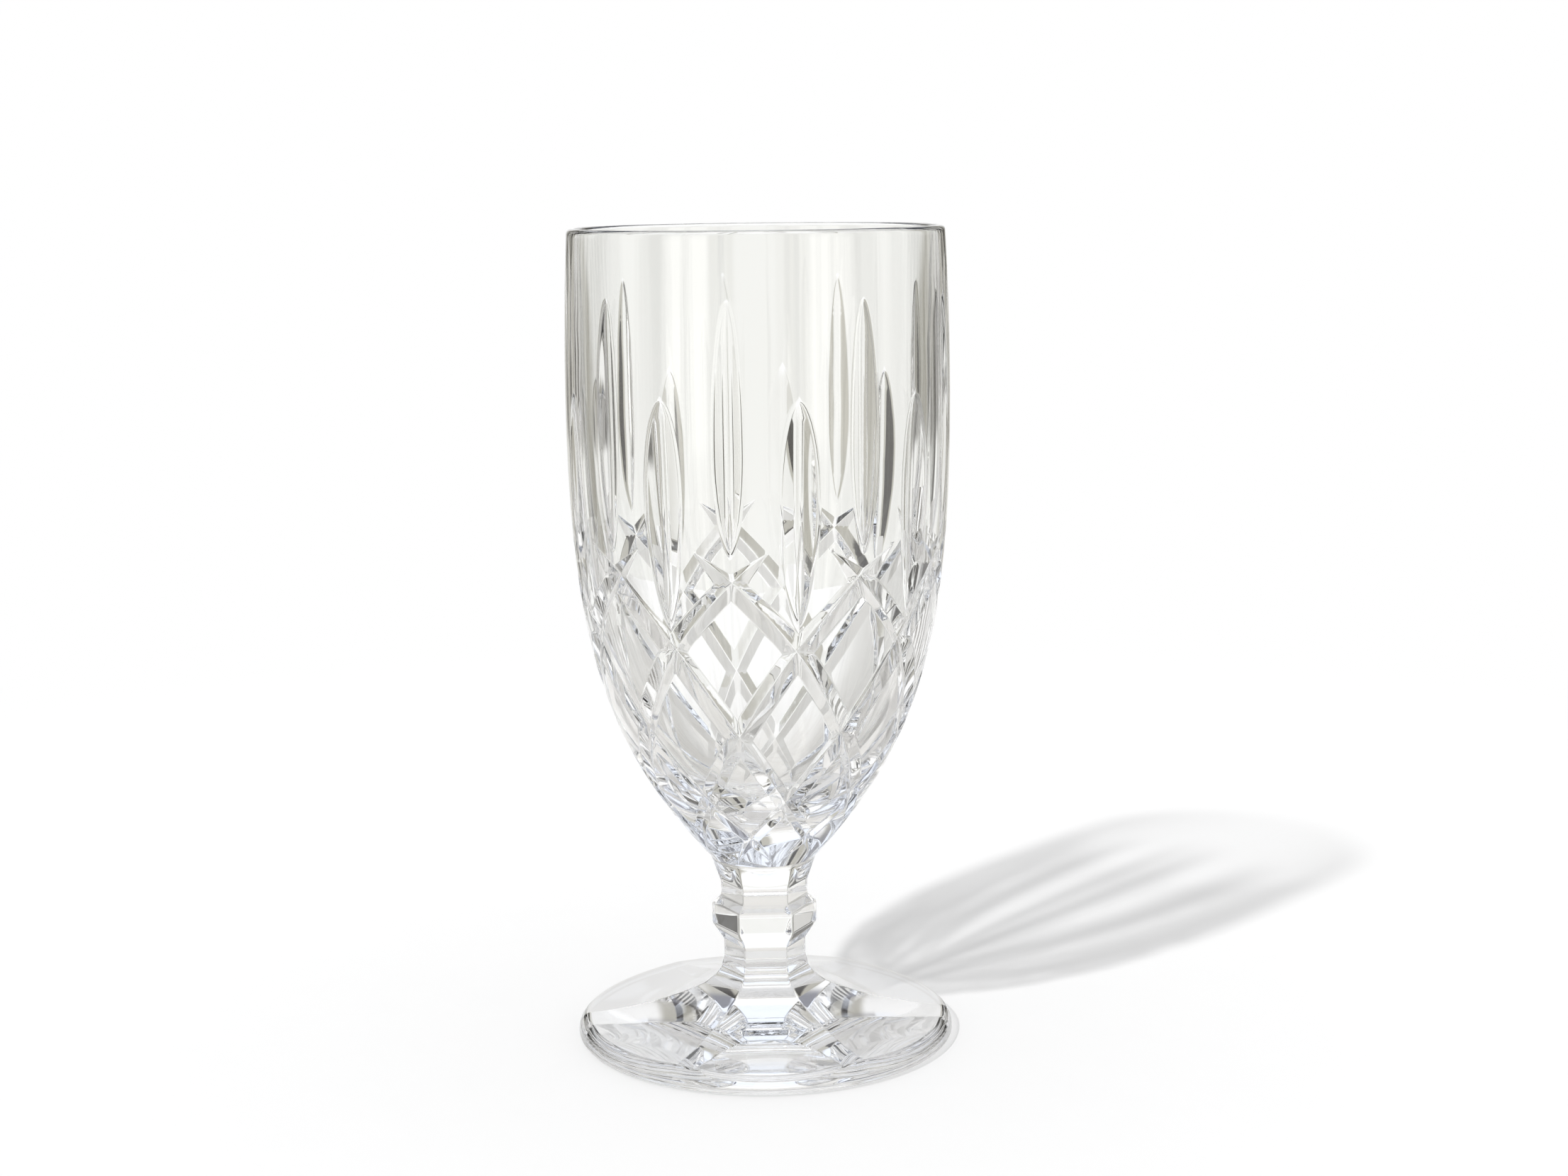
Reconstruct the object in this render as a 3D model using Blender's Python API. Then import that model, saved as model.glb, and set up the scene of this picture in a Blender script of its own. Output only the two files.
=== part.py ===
"""Footed beer glass of clear cut crystal: a round bowl, a six-sided stem and a round foot with six panels.

The three gathers of glass are separate objects, stood one on the other. Metres, +Z up. The origin is the
middle of the underside of the foot, and a flat of the stem faces the front, -Y.
"""
import math
from itertools import pairwise

import bmesh
import bpy
import numpy as np
from mathutils import Vector
from mathutils.geometry import delaunay_2d_cdt

# Joints: the gathers are fused on the real glass, and stand this far apart here.
JOINT_GAP = 0.0003

# Foot: a rolled edge, six panels that rise inwards, and a flare up to the stem. Widths of six-sided
# sections are apothems, from the axis to the middle of a flat.
SIDES = 6
FOOT_RADIUS = 0.0438
FOOT_EDGE_HEIGHT = 0.0044
FOOT_EDGE_ROLL = 0.0034
FOOT_EDGE_UNDER_ROUND = 0.0014
PANEL_RISE = 0.0070
PANEL_FALL = 0.0010
PANEL_TURN_APOTHEM = 0.0235
PANEL_TOP_APOTHEM = 0.0124
FLARE_RISE = 0.0043
FLARE_TOP_APOTHEM = 0.0088
FLARE_TURN_APOTHEM = 0.0092
FLARE_TURN_DROP = 0.0018
RECESS_RADIUS = 0.0310
RECESS_DEPTH = 0.0010

# Stem: flat facets that spread below a waist, swell to a knop with a flat band, draw in to a neck, and spread
# to a collar under the bowl.
WAIST_APOTHEM = 0.0083
WAIST_FLARE = 0.0020
WAIST_LENGTH = 0.0041
KNOP_APOTHEM = 0.0106
KNOP_LOWER_SLOPE = 0.0040
KNOP_BAND_LENGTH = 0.0049
KNOP_UPPER_SLOPE = 0.0017
NECK_APOTHEM = 0.0088
NECK_LENGTH = 0.0034
COLLAR_APOTHEM = 0.0106
COLLAR_RISE = 0.0062
STEM_EDGE_RADIUS = 0.0007

# Bowl: outside and inside outlines, each a curve up to the belly and a slight lean in to the rim.
BOWL_HEIGHT = 0.1444
BOWL_BASE_ANGLE = 48.0
BOWL_BASE_CURVE = 0.0350
BELLY_RADIUS = 0.0433
BELLY_DROP = 0.0390
BELLY_CURVE = 0.0555
RIM_RADIUS = 0.0422
LIP_THICKNESS = 0.0022
WALL_THICKNESS = 0.0034
FLOOR_THICKNESS = 0.0120
HOLLOW_FLOOR_CURVE = 0.0220
HOLLOW_SIDE_CURVE = 0.0660

# Cuts round the bowl: long and short leaves in turn, over a lattice of crossed mitre cuts. The crossings
# lie in rows under the leaves. The heights are above the base of the bowl, from the row that the upper
# arms point to down to the base.
REPEATS = 9
FIRST_LONG_LEAF_ANGLE = -10.0
CROSSING_HEIGHTS = (0.0827, 0.0703, 0.0548, 0.0348, 0.0178, 0.0079, 0.0)
LATTICE_CUT_WIDTH = 0.0050
LATTICE_CUT_DEPTH = 0.0016
UPPER_ARM_REACH = 0.52
LEAF_TIP_GAP = 0.0058
LONG_LEAF_RIM_MARGIN = 0.0145
LONG_LEAF_WIDTH = 0.0062
LONG_LEAF_DEPTH = 0.0013
LONG_LEAF_FULLEST_AT = 0.42
SHORT_LEAF_RIM_MARGIN = 0.0353
SHORT_LEAF_WIDTH = 0.0081
SHORT_LEAF_DEPTH = 0.0016
SHORT_LEAF_FULLEST_AT = 0.58
LEAF_TOP_POWER = 0.55
LEAF_BOTTOM_POWER = 0.80

# Clear crystal
CRYSTAL_TINT = (0.98, 0.98, 0.98)
CRYSTAL_ROUGHNESS = 0.02
CRYSTAL_IOR = 1.52

# Fineness of the faceted surfaces: how many steps each curve is made in.
OUTLINE_SAMPLES = 200
FACET_STEPS = 10
PANEL_STEPS = 7
RECESS_STEPS = 3
SMALL_CURVE_STEPS = 5
LIP_STEPS = 4
HOLLOW_STEPS = 14
LEAF_STEPS = 9
CUT_STEPS = 3
HALF_REPEAT_COLUMNS = 3
BOWL_ROW_SPACING = 0.0090
MERGE_DISTANCE = 1e-6
SNAP_DIGITS = 9
SHARP_ANGLE = 18.0

SIDE_ANGLE = 360.0 / SIDES
CORNER_REACH = 1.0 / math.cos(math.radians(SIDE_ANGLE / 2))
FOOT_HEIGHT = FOOT_EDGE_HEIGHT + PANEL_RISE + FLARE_RISE
STEM_BOTTOM = FOOT_HEIGHT + JOINT_GAP
KNOP_BOTTOM = WAIST_FLARE + WAIST_LENGTH + KNOP_LOWER_SLOPE
KNOP_TOP = KNOP_BOTTOM + KNOP_BAND_LENGTH
NECK_TOP = KNOP_TOP + KNOP_UPPER_SLOPE + NECK_LENGTH
STEM_LENGTH = NECK_TOP + COLLAR_RISE
BOWL_BOTTOM = STEM_BOTTOM + STEM_LENGTH + JOINT_GAP
BOWL_BASE_RADIUS = COLLAR_APOTHEM * CORNER_REACH


def bezier(points, steps):
    """Points along a quadratic or cubic curve, both ends included."""
    order = len(points) - 1
    curve = []
    for t in np.linspace(0.0, 1.0, steps + 1):
        weights = [math.comb(order, k) * t**k * (1 - t)**(order - k) for k in range(order + 1)]
        curve.append(tuple(np.dot(weights, points)))
    return curve


def ellipse_arc(centre, half_width, half_height, start_angle, end_angle, steps):
    """Points on an arc of an ellipse in the profile plane, between two angles in degrees."""
    angles = np.radians(np.linspace(start_angle, end_angle, steps + 1))
    return [(centre[0] + half_width * math.cos(t), centre[1] + half_height * math.sin(t)) for t in angles]


def around(angle, radius, height):
    """The point at an angle in degrees from the front, positive towards +X."""
    turn = math.radians(angle)
    return Vector((radius * math.sin(turn), -radius * math.cos(turn), height))


def crystal(name):
    """Clear crystal as a Principled material."""
    material = bpy.data.materials.new(name)
    material.use_nodes = True
    shader = material.node_tree.nodes["Principled BSDF"]
    shader.inputs["Base Color"].default_value = (*CRYSTAL_TINT, 1.0)
    shader.inputs["Roughness"].default_value = CRYSTAL_ROUGHNESS
    shader.inputs["Metallic"].default_value = 0.0
    shader.inputs["IOR"].default_value = CRYSTAL_IOR
    shader.inputs["Transmission Weight"].default_value = 1.0
    return material


def closed_object(name, points, faces, height):
    """A named crystal object from points and faces, shared points merged and its faces pointing out."""
    bm = bmesh.new()
    verts = [bm.verts.new(point) for point in points]
    for face in faces:
        bm.faces.new([verts[index] for index in face])
    bmesh.ops.remove_doubles(bm, verts=bm.verts[:], dist=MERGE_DISTANCE)
    bmesh.ops.recalc_face_normals(bm, faces=bm.faces[:])
    mesh = bpy.data.meshes.new(name)
    bm.to_mesh(mesh)
    bm.free()
    mesh.shade_smooth()
    mesh.set_sharp_from_angle(angle=math.radians(SHARP_ANGLE))
    mesh.materials.append(crystal(name + "_crystal"))
    piece = bpy.data.objects.new(name, mesh)
    piece.location.z = height
    bpy.context.collection.objects.link(piece)


def skin_rings(rings):
    """Points and faces of a closed body: rings of equal length joined in order, and its two end faces."""
    count = len(rings[0])
    points = [point for ring in rings for point in ring]
    faces = [tuple(range(count)), tuple(range(len(points) - count, len(points)))]
    for level in range(len(rings) - 1):
        for k in range(count):
            after = (k + 1) % count
            low, high = level * count, (level + 1) * count
            faces.append((low + k, low + after, high + after, high + k))
    return points, faces


def foot_column(angle, off_flat):
    """Radius and height down one radial line of the foot, from the joint to the underside.

    off_flat is the angle from the middle of the nearest flat, so the six-sided parts reach further out
    towards their ridges and every point of a panel lies on the one outline drawn along its middle.
    """
    reach = 1.0 / math.cos(math.radians(off_flat))
    edge = FOOT_RADIUS - FOOT_EDGE_ROLL
    panel_height = FOOT_EDGE_HEIGHT + PANEL_RISE
    panel_top = (PANEL_TOP_APOTHEM, panel_height)
    joint = (FLARE_TOP_APOTHEM, FOOT_HEIGHT)
    flare_turn = (FLARE_TURN_APOTHEM, FOOT_HEIGHT - FLARE_TURN_DROP)
    flare = bezier((joint, flare_turn, panel_top), SMALL_CURVE_STEPS)
    column = [(apothem * reach, height) for apothem, height in flare]
    panel_turn = (PANEL_TURN_APOTHEM, FOOT_EDGE_HEIGHT + PANEL_FALL)
    across, heights = zip(*bezier((panel_top, panel_turn, (edge, FOOT_EDGE_HEIGHT)), OUTLINE_SAMPLES))
    for radius in np.linspace(PANEL_TOP_APOTHEM * reach, edge, PANEL_STEPS + 1)[1:]:
        column.append((radius, float(np.interp(radius / reach, across, heights))))
    under = FOOT_EDGE_UNDER_ROUND
    roll_height = column[-1][1] - under
    column += ellipse_arc((edge, under), FOOT_EDGE_ROLL, roll_height, 90.0, 0.0, SMALL_CURVE_STEPS)[1:]
    column += ellipse_arc((FOOT_RADIUS - under, under), under, under, 0.0, -90.0, SMALL_CURVE_STEPS)[1:]
    for share in np.linspace(1.0, 0.0, RECESS_STEPS + 1)[:-1]:
        column.append((RECESS_RADIUS * share, RECESS_DEPTH * (1 - share * share)))
    return [around(angle, radius, height) for radius, height in column]


def make_foot():
    """The foot: flare, six panels, rolled edge, and an underside hollowed inside the ring it stands on."""
    columns = []
    for flat in range(SIDES):
        for step in range(FACET_STEPS):
            off_flat = SIDE_ANGLE * (step / FACET_STEPS - 0.5)
            columns.append(foot_column(flat * SIDE_ANGLE + off_flat, off_flat))
    points, faces = skin_rings(list(zip(*columns)))
    closed_object("foot", points, faces, 0.0)


def six_sided_ring(apothem, height):
    """One section of the stem, its corners rounded by the edge radius."""
    ring = []
    for corner in range(SIDES):
        facing = (corner + 0.5) * SIDE_ANGLE
        centre = around(facing, (apothem - STEM_EDGE_RADIUS) * CORNER_REACH, height)
        for swing in (-SIDE_ANGLE / 2, 0.0, SIDE_ANGLE / 2):
            ring.append(centre + around(facing + swing, STEM_EDGE_RADIUS, 0.0))
    return ring


def make_stem():
    """The stem, skinned over the six-sided sections where its flat facets meet."""
    outline = (
        (FLARE_TOP_APOTHEM, 0.0),
        (WAIST_APOTHEM, WAIST_FLARE),
        (WAIST_APOTHEM, WAIST_FLARE + WAIST_LENGTH),
        (KNOP_APOTHEM, KNOP_BOTTOM),
        (KNOP_APOTHEM, KNOP_TOP),
        (NECK_APOTHEM, KNOP_TOP + KNOP_UPPER_SLOPE),
        (NECK_APOTHEM, NECK_TOP),
        (COLLAR_APOTHEM, STEM_LENGTH),
    )
    points, faces = skin_rings([six_sided_ring(apothem, height) for apothem, height in outline])
    closed_object("stem", points, faces, STEM_BOTTOM)


def bowl_outline():
    """Heights and radii up the outside of the bowl, finely spaced, for reading by interpolation."""
    belly = BOWL_HEIGHT - BELLY_DROP
    tilt = math.radians(BOWL_BASE_ANGLE)
    base = (BOWL_BASE_RADIUS, 0.0)
    leave = (BOWL_BASE_RADIUS + BOWL_BASE_CURVE * math.cos(tilt), BOWL_BASE_CURVE * math.sin(tilt))
    arrive = (BELLY_RADIUS, belly - BELLY_CURVE)
    curve = bezier((base, leave, arrive, (BELLY_RADIUS, belly)), OUTLINE_SAMPLES)
    lean_in = BELLY_DROP - LIP_THICKNESS / 2
    for share in np.linspace(0.0, 1.0, OUTLINE_SAMPLES + 1)[1:]:
        radius = BELLY_RADIUS - (BELLY_RADIUS - RIM_RADIUS) * share**2
        curve.append((radius, belly + lean_in * share))
    radii, heights = np.array(curve).T
    return heights, radii


def lip_and_hollow():
    """Radius and height over the rounded lip and down the hollow to the middle of its floor."""
    belly = BOWL_HEIGHT - BELLY_DROP
    lip = LIP_THICKNESS / 2
    over = ellipse_arc((RIM_RADIUS - lip, BOWL_HEIGHT - lip), lip, lip, 0.0, 180.0, LIP_STEPS)
    inside = BELLY_RADIUS - WALL_THICKNESS
    down = [(inside, belly), (inside, belly - HOLLOW_SIDE_CURVE)]
    down += [(HOLLOW_FLOOR_CURVE, FLOOR_THICKNESS), (0.0, FLOOR_THICKNESS)]
    lean = bezier((over[-1], (inside, (belly + BOWL_HEIGHT) / 2), down[0]), SMALL_CURVE_STEPS)
    return over + lean[1:] + bezier(down, HOLLOW_STEPS)[1:]


class Leaf:
    """One leaf cut: its middle line, its two ends, and its shape, a blunt top and a longer point below."""

    def __init__(self, middle, crossing, rim_margin, width, depth, fullest_at):
        self.middle = middle
        self.bottom = crossing + LEAF_TIP_GAP
        self.top = BOWL_HEIGHT - rim_margin
        self.width = width
        self.depth = depth
        self.fullest_at = fullest_at

    def half_width(self, height):
        """Half the width of the leaf at a height, nothing beyond its ends."""
        share = min(max((height - self.bottom) / (self.top - self.bottom), 0.0), 1.0)
        if share > self.fullest_at:
            off_fullest, power = (share - self.fullest_at) / (1 - self.fullest_at), LEAF_TOP_POWER
        else:
            off_fullest, power = (self.fullest_at - share) / self.fullest_at, LEAF_BOTTOM_POWER
        return self.width / 2 * max(1 - off_fullest**2, 0.0)**power


class CutPattern:
    """The cuts on half of one repeat, between the middle of a long leaf and that of a short leaf.

    A place is given by across, 0 on the long leaf and 1 on the short leaf, and by height above the base
    of the bowl. A row is a count of crossings downwards, read off CROSSING_HEIGHTS.
    """

    def __init__(self):
        self.half_turn = 180.0 / REPEATS
        self.heights, self.radii = bowl_outline()
        self.top = BOWL_HEIGHT - LIP_THICKNESS / 2
        self.row_heights = self.smooth_rows()
        self.last_row = len(CROSSING_HEIGHTS) - 1
        self.arm_row = 1 - UPPER_ARM_REACH
        self.leaves = (
            Leaf(0.0, CROSSING_HEIGHTS[1], LONG_LEAF_RIM_MARGIN, LONG_LEAF_WIDTH, LONG_LEAF_DEPTH,
                 LONG_LEAF_FULLEST_AT),
            Leaf(1.0, CROSSING_HEIGHTS[2], SHORT_LEAF_RIM_MARGIN, SHORT_LEAF_WIDTH, SHORT_LEAF_DEPTH,
                 SHORT_LEAF_FULLEST_AT),
        )

    def smooth_rows(self):
        """Rows and heights along one smooth line through the crossings, finely spaced."""
        known = np.array(CROSSING_HEIGHTS)
        slopes = np.gradient(known)
        rows, heights = [], []
        for row in range(len(known) - 1):
            for t in np.linspace(0.0, 1.0, OUTLINE_SAMPLES, endpoint=False):
                ease = t * t * (3 - 2 * t)
                bend = t * (1 - t) * ((1 - t) * slopes[row] - t * slopes[row + 1])
                rows.append(row + t)
                heights.append(known[row] * (1 - ease) + known[row + 1] * ease + bend)
        return np.array(rows + [len(known) - 1.0]), np.array(heights + [known[-1]])

    def radius(self, height):
        return float(np.interp(height, self.heights, self.radii))

    def height(self, row):
        return float(np.interp(row, *self.row_heights))

    def row(self, height):
        rows, heights = self.row_heights
        return float(np.interp(-height, -heights, rows))

    def arc(self, height):
        """Length round the bowl at a height, from a long leaf to a short one."""
        return math.radians(self.half_turn) * self.radius(height)

    def fade(self, row):
        """Share of its full size that a lattice cut has at a row, falling to nothing at both ends."""
        return float(np.interp(row, (self.arm_row, 1.0, self.last_row - 1.0, self.last_row), (0, 1, 1, 0)))

    def cut_share(self):
        """Half the width of a lattice cut, as a share of half the spacing of the cuts under the leaves."""
        drop = CROSSING_HEIGHTS[1] - CROSSING_HEIGHTS[2]
        run = self.arc(CROSSING_HEIGHTS[1])
        spacing = 2 * drop * run / math.hypot(drop, run)
        return LATTICE_CUT_WIDTH / spacing

    def depth(self, across, height):
        """How far the cuts go in from the outline at a place."""
        deepest = 0.0
        for leaf in self.leaves:
            inwards = leaf.half_width(height) - abs(across - leaf.middle) * self.arc(height)
            deepest = max(deepest, leaf.depth * inwards / (leaf.width / 2))
        row = self.row(height)
        if height < self.height(self.arm_row):
            lines = (row + across, row - across)
            off_line = min(abs((line - 1) - 2 * round((line - 1) / 2)) for line in lines)
            lattice_depth = LATTICE_CUT_DEPTH * self.radius(height) / BELLY_RADIUS
            deepest = max(deepest, lattice_depth * (self.fade(row) - off_line / self.cut_share()))
        return deepest

    def place(self, across, height):
        """Angle, radius and height of a place on the cut surface, set in square to the outline."""
        nearest = min(max(np.searchsorted(self.heights, height), 1), len(self.heights) - 1)
        rise = self.heights[nearest] - self.heights[nearest - 1]
        lean = math.atan2(self.radii[nearest] - self.radii[nearest - 1], rise)
        depth = self.depth(across, height)
        radius = self.radius(height) - depth * math.cos(lean)
        return across * self.half_turn, radius, height + depth * math.sin(lean)

    def leaf_lines(self):
        """Bottoms and edges of the leaf cuts."""
        lines = []
        for leaf in self.leaves:
            shares = (1 - np.cos(np.linspace(0, math.pi, LEAF_STEPS + 1))) / 2
            heights = leaf.bottom + (leaf.top - leaf.bottom) * shares
            towards = 1.0 - 2.0 * leaf.middle
            edge = [(leaf.middle + towards * leaf.half_width(h) / self.arc(h), h) for h in heights]
            lines.append([(leaf.middle, h) for h in heights])
            lines.append([(leaf.middle, heights[0])] + edge[1:-1] + [(leaf.middle, heights[-1])])
        return lines

    def lattice_lines(self):
        """Bottoms, edges and mitres of the lattice cuts, as straight lines in across and row.

        Their ends are snapped, so that those on the mirror lines lie on them exactly.
        """
        width = self.cut_share()
        lines = []
        for row in range(self.last_row):
            start = max(row, self.arm_row)
            stretches = [((0.0, row), (width, row))] if row else []
            for side in (-1, 0, 1):
                first = start - row + side * width * self.fade(start)
                last = 1.0 + side * width * self.fade(row + 1)
                stretch = []
                for share in (max(-first / (last - first), 0.0), min((1.0 - first) / (last - first), 1.0)):
                    stretch.append((first + (last - first) * share, start + (row + 1 - start) * share))
                stretches.append(stretch)
            for begin, end in stretches:
                across, rows = np.linspace(begin, end, CUT_STEPS + 1).round(SNAP_DIGITS).T
                if row % 2 == 0:
                    across = 1.0 - across
                lines.append(list(zip(across, map(self.height, rows))))
        return lines


def triangulate(pattern):
    """Corners and triangles of the flat drawing of half a repeat, its edges along every line of the cuts."""
    width = pattern.arc(BOWL_HEIGHT - BELLY_DROP)
    flat, edges = [], []
    for line in pattern.leaf_lines() + pattern.lattice_lines():
        edges += pairwise(range(len(flat), len(flat) + len(line)))
        flat += [Vector((across * width, height)) for across, height in line]
    rows = round(pattern.top / BOWL_ROW_SPACING)
    for height in np.linspace(0.0, pattern.top, rows + 1):
        for across in np.linspace(0.0, 1.0, HALF_REPEAT_COLUMNS + 1):
            spot = Vector((across * width, height))
            at_end = height in (0.0, pattern.top)
            clear = min((spot - corner).length for corner in flat) > BOWL_ROW_SPACING / 4
            if at_end or (clear and pattern.depth(across, height) <= 0.0):
                flat.append(spot)
    corners, _, triangles, *_ = delaunay_2d_cdt(flat, edges, [], 0, MERGE_DISTANCE, False)
    return [(corner.x / width, corner.y) for corner in corners], triangles


def bowl_patch():
    """Half a repeat of the bowl: its cut outside, its lip and hollow, and its flat base."""
    pattern = CutPattern()
    corners, triangles = triangulate(pattern)
    places = [pattern.place(across, height) for across, height in corners]
    faces = [tuple(triangle) for triangle in triangles]

    columns = np.linspace(0.0, pattern.half_turn, HALF_REPEAT_COLUMNS + 1)
    for (radius_0, height_0), (radius_1, height_1) in pairwise(lip_and_hollow()):
        for angle_0, angle_1 in pairwise(columns):
            start = len(places)
            places += [(angle_0, radius_0, height_0), (angle_1, radius_0, height_0)]
            places += [(angle_1, radius_1, height_1), (angle_0, radius_1, height_1)]
            faces.append((start, start + 1, start + 2, start + 3))

    base = [index for index, (_, height) in enumerate(corners) if height <= MERGE_DISTANCE]
    base.sort(key=lambda index: corners[index][0])
    places.append((0.0, 0.0, 0.0))
    faces += [(len(places) - 1, first, second) for first, second in pairwise(base)]
    return places, faces


def make_bowl():
    """The bowl: half a repeat, mirrored and turned round the axis."""
    places, patch = bowl_patch()
    points, faces = [], []
    for repeat in range(REPEATS):
        long_leaf = FIRST_LONG_LEAF_ANGLE + repeat * 360.0 / REPEATS
        for hand in (1, -1):
            start = len(points)
            points += [around(long_leaf + hand * angle, radius, height) for angle, radius, height in places]
            faces += [tuple(start + index for index in face[::hand]) for face in patch]
    closed_object("bowl", points, faces, BOWL_BOTTOM)


for item in list(bpy.data.objects):
    bpy.data.objects.remove(item, do_unlink=True)
make_foot()
make_stem()
make_bowl()
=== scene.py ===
"""Footed beer glass of clear cut crystal, standing on a white table in soft studio light.

The foot, the stem and the bowl are built from the table up, and each stands for its node of the CAD frame.
Metres, +Z up. Angles round the glass are in degrees from the front, -Y, and grow towards +X.
"""
import math
from itertools import pairwise

import bmesh
import bpy
import numpy as np
from mathutils import Matrix, Vector
from mathutils.geometry import delaunay_2d_cdt


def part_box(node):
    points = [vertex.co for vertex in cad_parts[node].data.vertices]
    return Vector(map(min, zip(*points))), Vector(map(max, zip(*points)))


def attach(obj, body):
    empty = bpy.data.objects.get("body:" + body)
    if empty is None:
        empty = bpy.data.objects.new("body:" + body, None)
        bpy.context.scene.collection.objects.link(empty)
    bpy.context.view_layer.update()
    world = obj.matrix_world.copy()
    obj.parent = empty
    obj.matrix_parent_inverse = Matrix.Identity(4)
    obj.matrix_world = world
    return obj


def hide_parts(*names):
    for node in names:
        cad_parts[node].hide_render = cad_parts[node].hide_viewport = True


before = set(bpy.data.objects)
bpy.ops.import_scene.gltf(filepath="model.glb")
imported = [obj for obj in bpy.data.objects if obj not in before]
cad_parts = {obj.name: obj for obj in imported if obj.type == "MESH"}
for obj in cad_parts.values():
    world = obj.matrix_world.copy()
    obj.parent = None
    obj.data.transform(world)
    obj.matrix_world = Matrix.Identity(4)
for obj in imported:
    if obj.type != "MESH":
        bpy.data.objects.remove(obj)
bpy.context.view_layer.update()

# Foot: a thick disc of clear crystal, pressed with six panels that rise to the stem and a rolled edge.
# It is ground flat on a ring round a shallow recess, and fused to the stem while it is hot.
foot_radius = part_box("foot")[1].x
foot_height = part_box("foot")[1].z
edge_height = 0.0044
edge_roll = 0.0034
edge_under_round = 0.0014
panel_rise = 0.0070
panel_turn = 0.0235
panel_top = 0.0124
recess_radius = 0.0310
recess_depth = 0.0010
panel_fall = 0.0010
flare_top = 0.0088
flare_turn = 0.0092
flare_drop = 0.0018
sides = 6
side_angle = 360.0 / sides
ridge_softness = 0.0003
joint_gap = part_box("stem")[0].z - foot_height
refractive_index = 1.52
green_tint = (0.985, 0.990, 0.985, 1)
warm_tint = (0.995, 0.993, 0.988, 1)
most_roughness = 0.012
drift_scale = 45.0
drift_bump = 0.05
# Lamp light through the glass: dimmed where its faces turn aside, and by painted shadow streaks from a noise
# across the height of the cuts.
edge_shade = (0.35, 0.35, 0.35, 1)
streak_shade = 0.52
streak_edge = (0.48, 0.60)
streak_scale = 9.0
streak_start = (3.3, 1.7, 0.0)
cuts_middle = 0.085
cuts_reach = (0.030, 0.065)


def bezier(points, steps):
    """Points along a curve through its control points' ends, closest together at both ends."""
    order = len(points) - 1
    shares = (1 - np.cos(np.linspace(0.0, math.pi, steps + 1))) / 2
    weights = [math.comb(order, k) * shares**k * (1 - shares)**(order - k) for k in range(order + 1)]
    return np.transpose(weights) @ np.array(points)


def arc(centre, radius, start, end, steps):
    """Points on an arc of a circle between two angles in degrees."""
    turn = np.radians(np.linspace(start, end, steps + 1))
    return np.column_stack((centre[0] + radius * np.cos(turn), centre[1] + radius * np.sin(turn)))


def soft_max(a, b, softness):
    """The larger of two values, with the corner between them rounded over."""
    overlap = np.maximum(softness - np.abs(a - b), 0.0)
    return np.maximum(a, b) + overlap**2 / (4 * softness)


def around(angle, radius, height):
    """Points at angles round the glass, from arrays of one shape."""
    turn = np.radians(angle)
    return np.stack(np.broadcast_arrays(radius * np.sin(turn), -radius * np.cos(turn), height), axis=-1)


def corner_reach(angle, apothem):
    """How much further out than the middle of a flat a six-sided section reaches, its corners softened."""
    off_flat = np.abs((angle + side_angle / 2) % side_angle - side_angle / 2)
    near, far = np.cos(np.radians(off_flat)), np.cos(np.radians(side_angle - off_flat))
    return 1 / soft_max(near, far, ridge_softness / apothem)


# Twenty-four places on each flat, closest together beside the corners.
facet_shares = np.sin(np.linspace(-math.pi / 2, math.pi / 2, 25))[:-1]
facet_angles = np.concatenate([side_angle * (side + facet_shares / 2) for side in range(sides)])


def grid_faces(rows, columns):
    """Quads between the rows of points round a closed ring."""
    faces = []
    for row in range(rows - 1):
        for k in range(columns):
            here, beside = row * columns + k, row * columns + (k + 1) % columns
            faces.append((here, beside, beside + columns, here + columns))
    return faces


def add_nodes(tree):
    """A short way to add a node to a tree, with its inputs by name, or by number after an underscore."""
    def add(kind, settings=None, **inputs):
        node = tree.nodes.new("ShaderNode" + kind)
        for name, value in (settings or {}).items():
            setattr(node, name, value)
        for name, value in inputs.items():
            socket = node.inputs[int(name[1:]) if name[1:].isdigit() else name.replace("_", " ")]
            if isinstance(value, bpy.types.NodeSocket):
                tree.links.new(value, socket)
            else:
                socket.default_value = value
        return node
    return add


def crystal_finish():
    """Node group for the glass: a tint, a roughness and a height that all drift slowly over the surface."""
    group = bpy.data.node_groups.new("crystal_finish", "ShaderNodeTree")
    for name, kind in (("Tint", "Color"), ("Roughness", "Float"), ("Height", "Float")):
        group.interface.new_socket(name, in_out="OUTPUT", socket_type="NodeSocket" + kind)
    add = add_nodes(group)
    place = add("TexCoord").outputs["Object"]
    drift = add("TexNoise", Vector=place, Scale=drift_scale, Detail=2.0).outputs["Fac"]
    tint = add("Mix", {"data_type": "RGBA"}, _0=drift, _6=green_tint, _7=warm_tint).outputs[2]
    rough = add("MapRange", Value=drift, To_Min=0.0, To_Max=most_roughness).outputs["Result"]
    out = group.nodes.new("NodeGroupOutput")
    for name, value in (("Tint", tint), ("Roughness", rough), ("Height", drift)):
        group.links.new(value, out.inputs[name])
    return group


finish = crystal_finish()


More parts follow.
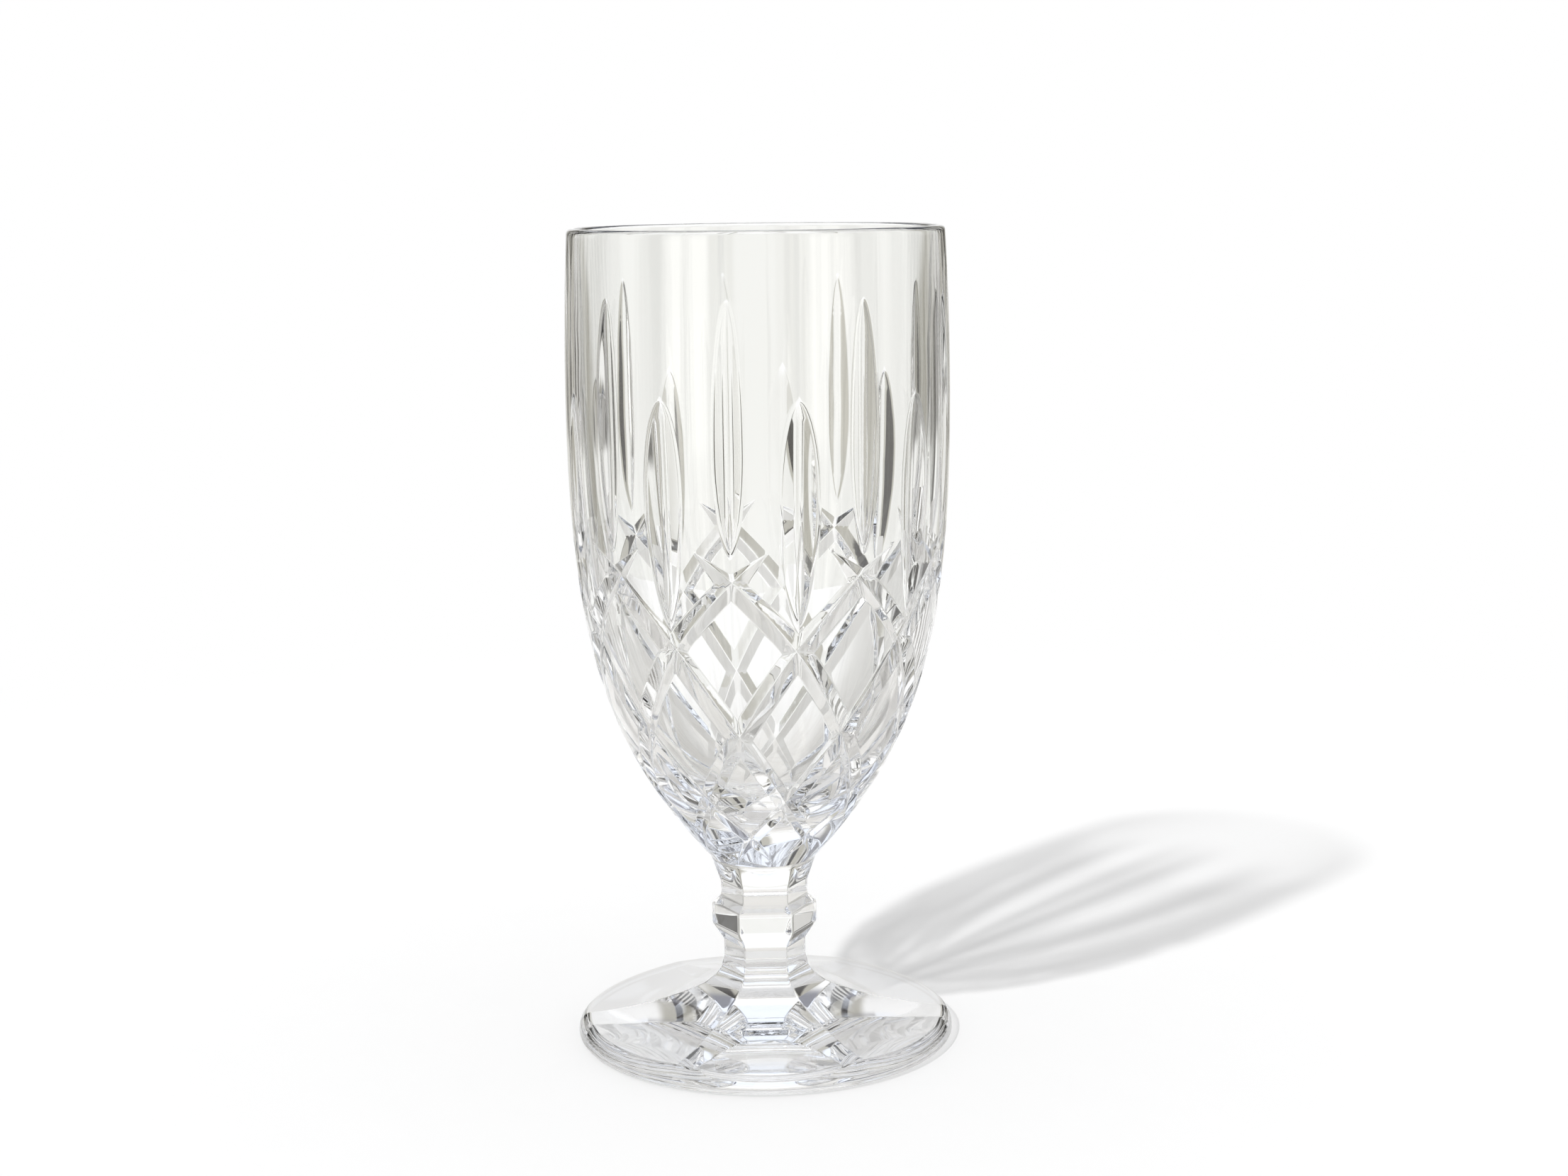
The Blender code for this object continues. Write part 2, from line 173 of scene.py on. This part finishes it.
def crystal(name):
    """Clear polished crystal. Lamp light passes it, dimmed at its edges and by painted shadow streaks."""
    material = bpy.data.materials.new(name)
    material.use_nodes = True
    nodes, links = material.node_tree.nodes, material.node_tree.links
    add = add_nodes(material.node_tree)
    shader = nodes["Principled BSDF"]
    shader.inputs["IOR"].default_value = refractive_index
    shader.inputs["Transmission Weight"].default_value = 1.0
    surface = add("Group", {"node_tree": finish}).outputs
    bump = add("Bump", Strength=drift_bump, Distance=0.001, Height=surface["Height"])
    links.new(surface["Tint"], shader.inputs["Base Color"])
    links.new(surface["Roughness"], shader.inputs["Roughness"])
    links.new(bump.outputs["Normal"], shader.inputs["Normal"])

    facing = add("LayerWeight", Blend=0.2).outputs["Facing"]
    shade = add("Mix", {"data_type": "RGBA"}, _0=facing, _6=(1, 1, 1, 1), _7=edge_shade).outputs[2]
    # Painted shadow: a noise round the glass, only across the height of the cuts, dims the lamp light that passes
    # and streaks the glass's shadow on the table.
    place = add("TexCoord").outputs["Object"]
    level = add("VectorMath", {"operation": "MULTIPLY"}, _0=place, _1=(1, 1, 0)).outputs["Vector"]
    outwards = add("VectorMath", {"operation": "NORMALIZE"}, _0=level).outputs["Vector"]
    outwards = add("VectorMath", {"operation": "ADD"}, _0=outwards, _1=streak_start).outputs["Vector"]
    noise = add("TexNoise", Vector=outwards, Scale=streak_scale, Detail=1.0).outputs["Fac"]
    low, high = streak_edge
    painted_streaks = add("MapRange", Value=noise, From_Min=low, From_Max=high, To_Min=1.0, To_Max=streak_shade)
    height = add("SeparateXYZ", Vector=place).outputs["Z"]
    off_cuts = add("Math", {"operation": "SUBTRACT"}, _0=height, _1=cuts_middle).outputs["Value"]
    off_cuts = add("Math", {"operation": "ABSOLUTE"}, _0=off_cuts).outputs["Value"]
    near, far = cuts_reach
    on_cuts = add("MapRange", Value=off_cuts, From_Min=near, From_Max=far, To_Min=1.0, To_Max=0.0)
    multiply = {"data_type": "RGBA", "blend_type": "MULTIPLY"}
    shade = add("Mix", multiply, _0=on_cuts.outputs[0], _6=shade, _7=painted_streaks.outputs[0]).outputs[2]
    clear = add("BsdfTransparent", Color=shade).outputs["BSDF"]
    to_lamp = add("LightPath").outputs["Is Shadow Ray"]
    either = add("MixShader", Fac=to_lamp, _1=shader.outputs["BSDF"], _2=clear).outputs["Shader"]
    links.new(either, nodes["Material Output"].inputs["Surface"])
    return material


def fused_joint():
    """The unseen face where one gather of glass runs into the next."""
    material = bpy.data.materials.new("fused_joint")
    material.use_nodes = True
    material.node_tree.nodes["Principled BSDF"].inputs["Alpha"].default_value = 0.0
    return material


joint = fused_joint()


def add_piece(name, points, faces, joint_faces, normals=None):
    """One gather of glass as an object that stands for the CAD node of that name."""
    mesh = bpy.data.meshes.new(name + "_glass")
    mesh.from_pydata(points, [], list(faces) + list(joint_faces))
    mesh.materials.append(crystal(name + "_glass"))
    mesh.materials.append(joint)
    mesh.polygons.foreach_set("material_index", [0] * len(faces) + [1] * len(joint_faces))
    bm = bmesh.new()
    bm.from_mesh(mesh)
    bmesh.ops.recalc_face_normals(bm, faces=bm.faces[:])
    bm.to_mesh(mesh)
    bm.free()
    mesh.shade_smooth()
    if normals is not None:
        mesh.normals_split_custom_set_from_vertices(normals)
    piece = bpy.data.objects.new(name + "_glass", mesh)
    bpy.context.collection.objects.link(piece)
    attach(piece, "root")
    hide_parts(name)


def make_foot():
    edge = foot_radius - edge_roll
    top = (panel_top, edge_height + panel_rise)
    flare = bezier(((flare_top, foot_height), (flare_turn, foot_height - flare_drop), top), 16)
    panel = bezier((top, (panel_turn, edge_height + panel_fall), (edge, edge_height)), 400)
    shares = (1 - np.cos(np.linspace(0.0, math.pi, 33))) / 2
    joint_radius = flare_top * corner_reach(facet_angles, flare_top)
    rows = [around(facet_angles, joint_radius, foot_height + joint_gap / 2)]
    rows += [around(facet_angles, a * corner_reach(facet_angles, a), height) for a, height in flare]
    for share in shares[1:]:
        radius = (1 - share) * panel_top * corner_reach(facet_angles, panel_top) + share * edge
        apothem = radius / corner_reach(facet_angles, radius)
        rows.append(around(facet_angles, radius, np.interp(apothem, *panel.T)))
    top_height = rows[-1][:, 2]
    for turn in np.radians(np.linspace(90.0, 0.0, 17)[1:]):
        height = edge_under_round + (top_height - edge_under_round) * math.sin(turn)
        rows.append(around(facet_angles, edge + edge_roll * math.cos(turn), height))
    under = arc((foot_radius - edge_under_round, edge_under_round), edge_under_round, 0.0, -90.0, 8)
    shares = np.linspace(1.0, 0.0, 13)
    recess = np.column_stack((recess_radius * shares, recess_depth * (1 - shares**2)))
    rows += [around(facet_angles, radius, height) for radius, height in np.vstack((under[1:], recess[:-1]))]
    columns = len(facet_angles)
    points = np.vstack(rows + [[[0.0, 0.0, recess_depth]]])
    faces = grid_faces(len(rows), columns)
    last = (len(rows) - 1) * columns
    faces += [(last + k, last + (k + 1) % columns, len(points) - 1) for k in range(columns)]
    add_piece("foot", points, faces, [tuple(range(columns))])


make_foot()

# Stem: a short solid stem of the same crystal, pressed six-sided, with a knop between waist and neck.
# Its collar spreads from six sides to round where it is fused under the bowl.
stem_low, stem_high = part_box("stem")
stem_length = stem_high.z - stem_low.z
waist = 0.0083
waist_flare = 0.0020
waist_length = 0.0041
knop = 0.0106
knop_band = 0.0049
knop_lower_slope = 0.0040
knop_upper_slope = 0.0017
neck = 0.0088
neck_length = 0.0034
collar = 0.0106
stem_edge = 0.0005
bowl_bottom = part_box("bowl")[0].z
bowl_base_radius = collar / math.cos(math.radians(side_angle / 2))


def soft_edges(corners, radius):
    """An outline with straight stretches between its corners, and a short curve at each inner corner."""
    line = [corners[0]]
    for before, corner, after in zip(corners, corners[1:], corners[2:]):
        start, end = (
            corner + (far - corner) * radius / np.linalg.norm(far - corner) for far in (before, after)
        )
        line += [*bezier((line[-1], start), 4)[1:], *bezier((start, corner, end), 6)[1:]]
    return np.array([*line, *bezier((line[-1], corners[-1]), 4)[1:]])


def make_stem():
    stretches = (waist_flare, waist_length, knop_lower_slope, knop_band, knop_upper_slope, neck_length)
    heights = np.cumsum((0.0, *stretches))
    apothems = (flare_top, waist, waist, knop, knop, neck, neck, collar)
    corners = np.column_stack((apothems, np.append(heights, stem_length)))
    neck_top = heights[-1]
    outline = soft_edges(corners, stem_edge)
    outline[0, 1] -= joint_gap / 2
    outline[-1, 1] += joint_gap
    rows = []
    for apothem, height in outline:
        six_sided = apothem * corner_reach(facet_angles, apothem)
        rounding = np.clip((height - neck_top) / (stem_length - neck_top), 0.0, 1.0)**2
        round_radius = apothem * bowl_base_radius / collar
        radius = (1 - rounding) * six_sided + rounding * round_radius
        rows.append(around(facet_angles, radius, stem_low.z + height))
    columns = len(facet_angles)
    points = np.vstack(rows)
    ends = [tuple(range(columns)), tuple(range(len(points) - columns, len(points)))]
    add_piece("stem", points, grid_faces(len(rows), columns), ends)


make_stem()

# Bowl: blown round and thick, then cut by hand on a wheel: long and short leaves in turn, over a lattice of
# crossed mitre cuts that runs down to the stem. The cuts are polished, which softens their edges.
bowl_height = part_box("bowl")[1].z - bowl_bottom
bowl_base_angle = 48.0
bowl_base_curve = 0.0350
belly_radius = 0.0433
belly_height = bowl_height - 0.0390
belly_curve = 0.0555
rim_radius = 0.0422
lip_radius = 0.0011
wall = 0.0034
floor_thickness = 0.0120
hollow_floor_curve = 0.0220
hollow_side_curve = 0.0660
cut_top = bowl_height - lip_radius
repeats = 9
half_repeat = 180.0 / repeats
first_long_leaf = -10.0
crossing_heights = (0.0827, 0.0703, 0.0548, 0.0348, 0.0178, 0.0079, 0.0)
last_row = len(crossing_heights) - 1
lattice_end_gap = 0.3
lattice_width = 0.0050
lattice_depth = 0.0016
arm_row = 0.48
leaf_tip_gap = 0.0058
leaf_top_power = 0.55
leaf_bottom_power = 0.80
leaf_softness = 0.00024
lattice_softness = 0.00012
groove_softness = 0.00010
# Each leaf's place across, bottom, top, width, depth, and how far up it is at its fullest.
leaves = (
    (0.0, crossing_heights[1] + leaf_tip_gap, bowl_height - 0.0145, 0.0062, 0.0013, 0.42),
    (1.0, crossing_heights[2] + leaf_tip_gap, bowl_height - 0.0353, 0.0081, 0.0016, 0.58),
)
columns_per_half = 12
hollow_columns_per_half = 20


def bowl_outline():
    """Radii, heights and lean of the outside of the bowl, finely spaced."""
    tilt = math.radians(bowl_base_angle)
    base = (bowl_base_radius, 0.0)
    leave = (bowl_base_radius + bowl_base_curve * math.cos(tilt), bowl_base_curve * math.sin(tilt))
    arrive, belly = (belly_radius, belly_height - belly_curve), (belly_radius, belly_height)
    lower = bezier((base, leave, arrive, belly), 3000)
    share = np.linspace(0.0, 1.0, 1000)[1:]
    upper = np.column_stack((
        belly_radius - (belly_radius - rim_radius) * share**2,
        belly_height + (cut_top - belly_height) * share,
    ))
    radii, heights = np.vstack((lower, upper)).T
    return radii, heights, np.arctan2(np.gradient(radii), np.gradient(heights))


def row_scale():
    """Rows and heights along one smooth line through the crossings, finely spaced."""
    known = np.array(crossing_heights)
    slopes = np.gradient(known)
    t = np.linspace(0.0, 1.0, 500, endpoint=False)
    ease = t * t * (3 - 2 * t)
    rows, heights = [], []
    for row in range(last_row):
        bend = t * (1 - t) * ((1 - t) * slopes[row] - t * slopes[row + 1])
        rows.append(row + t)
        heights.append(known[row] * (1 - ease) + known[row + 1] * ease + bend)
    return np.append(np.concatenate(rows), last_row), np.append(np.concatenate(heights), known[-1])


outline_radii, outline_heights, outline_lean = bowl_outline()
row_marks, row_heights = row_scale()


def bowl_radius(height):
    return np.interp(height, outline_heights, outline_radii)


def height_at_row(row):
    return np.interp(row, row_marks, row_heights)


def row_at_height(height):
    return np.interp(-height, -row_heights, row_marks)


def half_arc(height):
    """Length round the bowl from a long leaf to a short one."""
    return math.radians(half_repeat) * bowl_radius(height)


def cut_share():
    """Half the width of a lattice cut, as a share of half the spacing of the cuts under the leaves."""
    drop = crossing_heights[1] - crossing_heights[2]
    run = half_arc(crossing_heights[1])
    return lattice_width * math.hypot(drop, run) / (2 * drop * run)


lattice_share = float(cut_share())


def lattice_fade(row):
    """Share of its full size that a lattice cut has, down to nothing at the arms' ends and above the stem."""
    at_arms = (row - arm_row) / (1 - arm_row)
    at_stem = (1 + lattice_end_gap) * (last_row - row) - lattice_end_gap
    return np.minimum(np.minimum(at_arms, 1.0), at_stem)


def leaf_half_width(leaf, height):
    """Half the width of a leaf, which has a blunt top and a longer point at the bottom."""
    _, bottom, top, width, _, fullest_at = leaf
    share = np.clip((height - bottom) / (top - bottom), 0.0, 1.0)
    above = share > fullest_at
    off_fullest = np.where(above, share - fullest_at, fullest_at - share)
    off_fullest = off_fullest / np.where(above, 1 - fullest_at, fullest_at)
    inside = width / 2 * (1 - off_fullest**2)**np.where(above, leaf_top_power, leaf_bottom_power)
    beyond = np.maximum(bottom - height, height - top)
    return np.where(beyond > 0, -beyond, inside)


def cut_depth(across, height):
    """How far the cuts go in at a height and a place across, 0 on a long leaf and 1 on a short one."""
    depth = np.zeros_like(across)
    for leaf in leaves:
        middle, _, _, width, deepest, _ = leaf
        off_middle = np.hypot(np.abs(across - middle) * half_arc(height), groove_softness) - groove_softness
        inwards = leaf_half_width(leaf, height) - off_middle
        depth = soft_max(depth, deepest * inwards / (width / 2), leaf_softness)
    row = row_at_height(height)
    full_depth = lattice_depth * bowl_radius(height) / belly_radius
    soft = groove_softness / (lattice_width / 2) * lattice_share
    for line in (row + across, row - across):
        off_line = np.hypot(np.abs(line % 2 - 1), soft) - soft
        inwards = lattice_fade(row) - off_line / lattice_share
        depth = soft_max(depth, full_depth * inwards, lattice_softness)
    return depth


def on_bowl(across, height):
    """Points of the cut surface, set in square to the outline, for the half repeat at the front."""
    depth = cut_depth(across, height)
    lean = np.interp(height, outline_heights, outline_lean)
    radius = bowl_radius(height) - depth * np.cos(lean)
    return around(across * half_repeat, radius, height + depth * np.sin(lean))


def normals_on_bowl(across, height):
    """Directions square to the cut surface."""
    step = 0.00003
    side = step / half_arc(height)
    round_it = on_bowl(across + side, height) - on_bowl(across - side, height)
    low, high = np.maximum(height - step, 0.0), np.minimum(height + step, cut_top)
    up_it = on_bowl(across, high) - on_bowl(across, low)
    normal = np.cross(round_it, up_it)
    return normal / np.linalg.norm(normal, axis=1, keepdims=True)


edge_steps = (-1.05, -0.5, 0.0, 0.5, 1.05)


def leaf_lines():
    """Middles and edges of the leaves, with lines beside each edge where it is rounded over."""
    lines = []
    for leaf in leaves:
        middle, bottom, top, width, deepest, _ = leaf
        rounding = leaf_softness * width / 2 / deepest
        heights = bottom + (top - bottom) * (1 - np.cos(np.linspace(0.0, math.pi, 47))) / 2
        lines.append((np.full_like(heights, middle), heights))
        for step in edge_steps:
            half = leaf_half_width(leaf, heights) + groove_softness + step * rounding
            kept = half > 0.00005
            off = half[kept] / half_arc(heights[kept])
            lines.append((np.abs(middle - off), heights[kept]))
    return lines


lattice_sides = [(side, step) for side in (-1.0, 0.0, 1.0) for step in edge_steps]
lattice_sides += [(-0.5, 0.0), (0.5, 0.0)]


def lattice_offset(side, step, row):
    """How far a line lies from the bottom of a lattice cut, as a share of half the cut's width."""
    edge = side * (max(lattice_fade(row), 0.0) + groove_softness / (lattice_width / 2))
    rounding = lattice_softness / lattice_depth * belly_radius / bowl_radius(height_at_row(row))
    return edge + step * (rounding if side else 2 * groove_softness / (lattice_width / 2))


def lattice_lines():
    """Bottoms, sides and edges of the lattice cuts, as lines that are straight in across and row."""
    lines = []
    for row in range(last_row):
        start = max(row, arm_row)
        for side, step in lattice_sides:
            first = start - row + lattice_share * lattice_offset(side, step, start)
            last = 1.0 + lattice_share * lattice_offset(side, step, row + 1)
            begin = max(-first / (last - first), 0.0)
            end = min((1.0 - first) / (last - first), 1.0)
            shares = np.linspace(begin, end, 11)
            across = np.round(first + (last - first) * shares, 9)
            if row % 2 == 0:
                across = 1.0 - across
            lines.append((across, height_at_row(start + (row + 1 - start) * shares)))
    return lines


def half_repeat_mesh():
    """Places and triangles of a flat drawing of half a repeat, with an edge along every line of the cuts."""
    width = float(half_arc(belly_height))
    spacing = width / columns_per_half
    spots, edges = [], []
    for across, heights in leaf_lines() + lattice_lines():
        edges += pairwise(range(len(spots), len(spots) + len(across)))
        spots += list(zip(across * width, heights))
    drawn = np.array(spots)
    levels = np.linspace(0.0, cut_top, round(cut_top / spacing) + 1)
    for level in levels[:-1]:
        for share in np.linspace(0.0, 1.0, columns_per_half + 1):
            spot = np.array((share * width, level))
            if level == 0 or np.min(np.hypot(*(drawn - spot).T)) > spacing / 3:
                spots.append(tuple(spot))
    spots += [(share * width, cut_top) for share in np.linspace(0.0, 1.0, hollow_columns_per_half + 1)]
    corners, _, triangles, *_ = delaunay_2d_cdt([Vector(spot) for spot in spots], edges, [], 0, 1e-6, False)
    flat = np.array(corners)
    across, heights = np.round(flat / (width, cut_top), 6).T
    return across, heights * cut_top, np.array(triangles)


def evenly(line, steps):
    """Points at even distances along a line."""
    along = np.append(0.0, np.cumsum(np.hypot(*np.diff(line, axis=0).T)))
    marks = np.linspace(0.0, along[-1], steps + 1)
    return np.column_stack([np.interp(marks, along, values) for values in line.T])


def make_bowl():
    across, heights, triangles = half_repeat_mesh()
    patch, patch_normals = on_bowl(across, heights), normals_on_bowl(across, heights)
    patch[:, 2] += bowl_bottom
    points, normals, faces = [], [], []
    for repeat in range(repeats):
        turn = math.radians(first_long_leaf + 2 * half_repeat * repeat)
        cosine, sine = math.cos(turn), math.sin(turn)
        turned = np.array(((cosine, -sine, 0), (sine, cosine, 0), (0, 0, 1)))
        for hand in (1, -1):
            place = turned @ np.diag((hand, 1, 1))
            faces.append(triangles + len(points) * len(patch))
            points.append(patch @ place.T)
            normals.append(patch_normals @ place.T)
    faces = [tuple(face) for face in np.vstack(faces)]

    lip = arc((rim_radius - lip_radius, cut_top), lip_radius, 0.0, 180.0, 10)
    inside = belly_radius - wall
    lean_in = bezier((lip[-1], (inside, (belly_height + bowl_height) / 2), (inside, belly_height)), 10)
    hollow = bezier((
        (inside, belly_height), (inside, belly_height - hollow_side_curve),
        (hollow_floor_curve, floor_thickness), (0.0, floor_thickness),
    ), 2000)
    profile = np.vstack((lip, lean_in[1:], evenly(hollow, 112)[1:-1]))
    slope = np.gradient(profile, axis=0)
    slope /= np.linalg.norm(slope, axis=1, keepdims=True)
    columns = 2 * hollow_columns_per_half * repeats
    angles = first_long_leaf + np.arange(columns) * 360.0 / columns
    start = sum(map(len, points))
    for (radius, height), (run, rise) in zip(profile, slope):
        points.append(around(angles, radius, bowl_bottom + height))
        normals.append(around(angles, rise, -run))
    faces += [tuple(start + corner for corner in face) for face in grid_faces(len(profile), columns)]
    last = start + (len(profile) - 1) * columns
    floor_middle = last + columns
    points.append(np.array([[0.0, 0.0, bowl_bottom + floor_thickness]]))
    normals.append(np.array([[0.0, 0.0, 1.0]]))
    faces += [(last + k, last + (k + 1) % columns, floor_middle) for k in range(columns)]

    points, normals = np.vstack(points), np.vstack(normals)
    _, first, welded = np.unique(np.round(points, 7), axis=0, return_index=True, return_inverse=True)
    welded = welded.ravel()
    faces = [tuple(welded[list(face)]) for face in faces]
    points, normals = points[first], normals[first]
    ring = np.flatnonzero(np.abs(points[:, 2] - bowl_bottom) < 1e-7)
    ring = ring[np.argsort(np.arctan2(points[ring, 0], -points[ring, 1]))]
    add_piece("bowl", points, faces, [tuple(ring)], normals)


make_bowl()

# Table: a round board painted matt white, just below the foot so that the two faces don't meet. Its rim fades
# into the white behind it. Only seen through the glass does it carry painted shade: darker under the stem and
# the foot, then light and grey sectors, darker near the glass, and further out painted dark stripes to
# the left and right.
table_drop = 0.0003
table_radius = 0.50
table_fade = 0.25
paint_tones = ((0.93, 0.93, 0.93, 1), (0.94, 0.94, 0.94, 1))
# From here on, painted shade that only the glass shows on the table: under the stem and the foot, sectors, and
# stripes.
under_stem = (0.010, 0.030)
under_edge = (0.040, 0.052)
near_to_far = (0.06, 0.36)
stripes_begin = (0.20, 0.28)
sectors = 8
stripes_round = 72
painted_shade_under_stem = (0.72, 0.71, 0.70, 1)
painted_shade_under_foot = (0.86, 0.855, 0.85, 1)
near_light = (0.76, 0.745, 0.72, 1)
near_grey = (0.54, 0.53, 0.51, 1)
far_light = (0.98, 0.98, 0.98, 1)
far_grey = (0.66, 0.655, 0.64, 1)
painted_stripe_shade = (0.28, 0.27, 0.25, 1)


def shorthand(tree):
    """Short ways to add nodes: soft ramps, blends of tones, sums, waves round the glass and side stripes."""
    add = add_nodes(tree)

    def ramp(value, low, high):
        soft = {"interpolation_type": "SMOOTHSTEP"}
        return add("MapRange", soft, Value=value, From_Min=low, From_Max=high).outputs[0]

    def blend(share, first, second):
        return add("Mix", {"data_type": "RGBA"}, _0=share, _6=first, _7=second).outputs[2]

    def sums(operation, first, second=0.0):
        return add("Math", {"operation": operation}, _0=first, _1=second).outputs[0]

    def waves(angle, count):
        return sums("COSINE", sums("MULTIPLY", angle, float(count)))

    def side_stripes(angle):
        along = sums("ABSOLUTE", sums("COSINE", angle))
        aside = sums("MULTIPLY", ramp(along, 0.90, 0.84), ramp(along, 0.18, 0.26))
        return sums("MULTIPLY", ramp(waves(angle, stripes_round), 0.2, -0.2), aside)

    return add, ramp, blend, sums, waves, side_stripes


def white_board():
    material = bpy.data.materials.new("white_board")
    material.use_nodes = True
    nodes, links = material.node_tree.nodes, material.node_tree.links
    add, ramp, blend, sums, waves, side_stripes = shorthand(material.node_tree)
    shader = nodes["Principled BSDF"]
    shader.inputs["Roughness"].default_value = 1.0
    shader.inputs["Specular IOR Level"].default_value = 0.0
    path = add("LightPath").outputs
    place = add("TexCoord").outputs["Object"]
    distance = add("VectorMath", {"operation": "LENGTH"}, _0=place).outputs["Value"]
    spot = add("SeparateXYZ", Vector=place).outputs
    angle = sums("ARCTAN2", spot["X"], spot["Y"])
    grain = add("TexNoise", Vector=place, Scale=60.0).outputs["Fac"]
    paint = blend(grain, *paint_tones)
    # Painted shade under the stem and the foot, seen only through the glass.
    under = blend(ramp(distance, *under_stem), painted_shade_under_stem, painted_shade_under_foot)
    # Painted shade seen through the glass: grey and light sectors, darker near the glass, and dark stripes to the
    # sides.
    sector = ramp(waves(angle, sectors), -0.3, 0.3)
    near, far = blend(sector, near_grey, near_light), blend(sector, far_grey, far_light)
    beside = blend(ramp(distance, *near_to_far), near, far)
    stripes = sums("MULTIPLY", side_stripes(angle), ramp(distance, *stripes_begin))
    beside = blend(stripes, beside, painted_stripe_shade)
    through = blend(ramp(distance, *under_edge), under, beside)
    links.new(blend(path["Is Transmission Ray"], paint, through), shader.inputs["Base Color"])
    white = sums("MULTIPLY", ramp(distance, table_fade, table_radius), path["Is Camera Ray"])
    glow = add("Emission", Strength=1.0).outputs["Emission"]
    both = add("MixShader", Fac=white, _1=shader.outputs["BSDF"], _2=glow).outputs["Shader"]
    links.new(both, nodes["Material Output"].inputs["Surface"])
    return material


def make_table():
    rim = around(np.arange(96) * 360.0 / 96, table_radius, -table_drop)
    mesh = bpy.data.meshes.new("table")
    mesh.from_pydata(rim, [], [tuple(range(len(rim)))])
    mesh.materials.append(white_board())
    table = bpy.data.objects.new("table", mesh)
    bpy.context.collection.objects.link(table)


make_table()

# Light: a pale tent of eight upright panels with dark gaps between them, every other one greyer and striped, with
# bright panes at the front and bars in its cool roof. Only the glass shows it, by mirroring and refraction. Two
# lamps light the table: one from all over the sky, and one at the front left, which throws the shadow.
panel_low = (0.93, 0.93, 0.905, 1)
panel_high = (1.08, 1.08, 1.08, 1)
side_tone = (0.68, 0.67, 0.645, 1)
stripe_tone = (0.10, 0.095, 0.085, 1)
gap_tone = (0.50, 0.485, 0.43, 1)
dark_gap_tone = (0.09, 0.085, 0.075, 1)
slot_tone = (0.05, 0.045, 0.04, 1)
top_tone = (0.98, 1.04, 1.16, 1)
bar_tone = (0.22, 0.22, 0.25, 1)
pane_tone = (1.7, 1.68, 1.62, 1)
panels = 8
roof_bars = 12
roof_edge = (0.36, 0.48)


def light_tent():
    world = bpy.data.worlds.new("light_tent")
    world.use_nodes = True
    bpy.context.scene.world = world
    add, ramp, blend, sums, waves, side_stripes = shorthand(world.node_tree)
    direction = add("SeparateXYZ", Vector=add("TexCoord").outputs["Generated"]).outputs
    angle = sums("ARCTAN2", direction["X"], direction["Y"])
    all_panels, every_other = waves(angle, panels), waves(angle, panels / 2)
    panel = blend(ramp(direction["Z"], -0.04, 0.06), panel_low, panel_high)
    above_table = ramp(direction["Z"], -0.15, -0.10)
    panel = blend(sums("MULTIPLY", ramp(every_other, -0.35, -0.55), above_table), panel, side_tone)
    panel = blend(sums("MULTIPLY", side_stripes(angle), above_table), panel, stripe_tone)
    panes = sums("MULTIPLY", ramp(every_other, -0.50, -0.60), ramp(every_other, -0.998, -0.985))
    panes = sums("MULTIPLY", panes, ramp(direction["Y"], -0.3, -0.5))
    panes = sums("MULTIPLY", panes, ramp(direction["Z"], -0.17, -0.13))
    panel = blend(panes, panel, pane_tone)
    to_side = ramp(sums("ABSOLUTE", direction["Y"]), 0.75, 0.55)
    gap = blend(to_side, blend(ramp(all_panels, -0.985, -0.96), slot_tone, gap_tone), dark_gap_tone)
    tent = blend(ramp(all_panels, -0.7, -0.2), gap, panel)
    roof = blend(ramp(waves(angle, roof_bars), -0.30, -0.50), top_tone, bar_tone)
    room = blend(ramp(direction["Z"], *roof_edge), tent, roof)
    path = add("LightPath").outputs
    seen = sums("MAXIMUM", path["Is Glossy Ray"], path["Is Transmission Ray"])
    lit = blend(seen, (0, 0, 0, 1), room)
    shown = blend(path["Is Camera Ray"], lit, (1, 1, 1, 1))
    world.node_tree.links.new(shown, world.node_tree.nodes["Background"].inputs["Color"])


light_tent()


def add_lamp(name, strength, spread, angle, elevation):
    """A far lamp at an angle round the glass and an elevation, its light spread over that much of the sky."""
    lamp = bpy.data.lights.new(name, "SUN")
    lamp.energy = strength
    lamp.angle = math.radians(spread)
    lamp.cycles.use_multiple_importance_sampling = False
    holder = bpy.data.objects.new(name, lamp)
    bpy.context.collection.objects.link(holder)
    rise = math.radians(elevation)
    towards = Vector(around(angle, math.cos(rise), math.sin(rise)))
    holder.rotation_euler = towards.to_track_quat("Z", "Y").to_euler()


add_lamp("front_left_lamp", 2.05, 2.5, -43.6, 42.8)
add_lamp("overhead_light", 2.05, 150.0, 0.0, 90.0)

# Camera: where the photograph was taken from, a little above the rim, with a slight tilt to the left.
camera_angle = -1.5
camera_distance = 0.5448
camera_height = 0.1982
camera_pitch = 9.70
camera_yaw = 0.57
camera_roll = -0.64
picture_width = 2212
focal_pixels = 3410


def photograph_camera():
    data = bpy.data.cameras.new("camera")
    data.sensor_width = 36.0
    data.lens = focal_pixels / picture_width * data.sensor_width
    data.clip_start = 0.01
    camera = bpy.data.objects.new("camera", data)
    bpy.context.collection.objects.link(camera)
    pitch = math.radians(camera_pitch)
    forward = Vector(around(180.0 - camera_yaw, math.cos(pitch), -math.sin(pitch)))
    aim = forward.to_track_quat("-Z", "Y").to_matrix() @ Matrix.Rotation(math.radians(camera_roll), 3, "Z")
    place = Matrix.Translation(around(0.0, camera_distance, camera_height)) @ aim.to_4x4()
    camera.matrix_world = Matrix.Rotation(math.radians(camera_angle), 4, "Z") @ place
    bpy.context.scene.camera = camera


photograph_camera()

scene = bpy.context.scene
scene.view_settings.view_transform = "Standard"
scene.cycles.max_bounces = 32
scene.cycles.transmission_bounces = 32
scene.cycles.glossy_bounces = 16
scene.cycles.transparent_max_bounces = 32
scene.cycles.caustics_refractive = False
scene.cycles.caustics_reflective = False
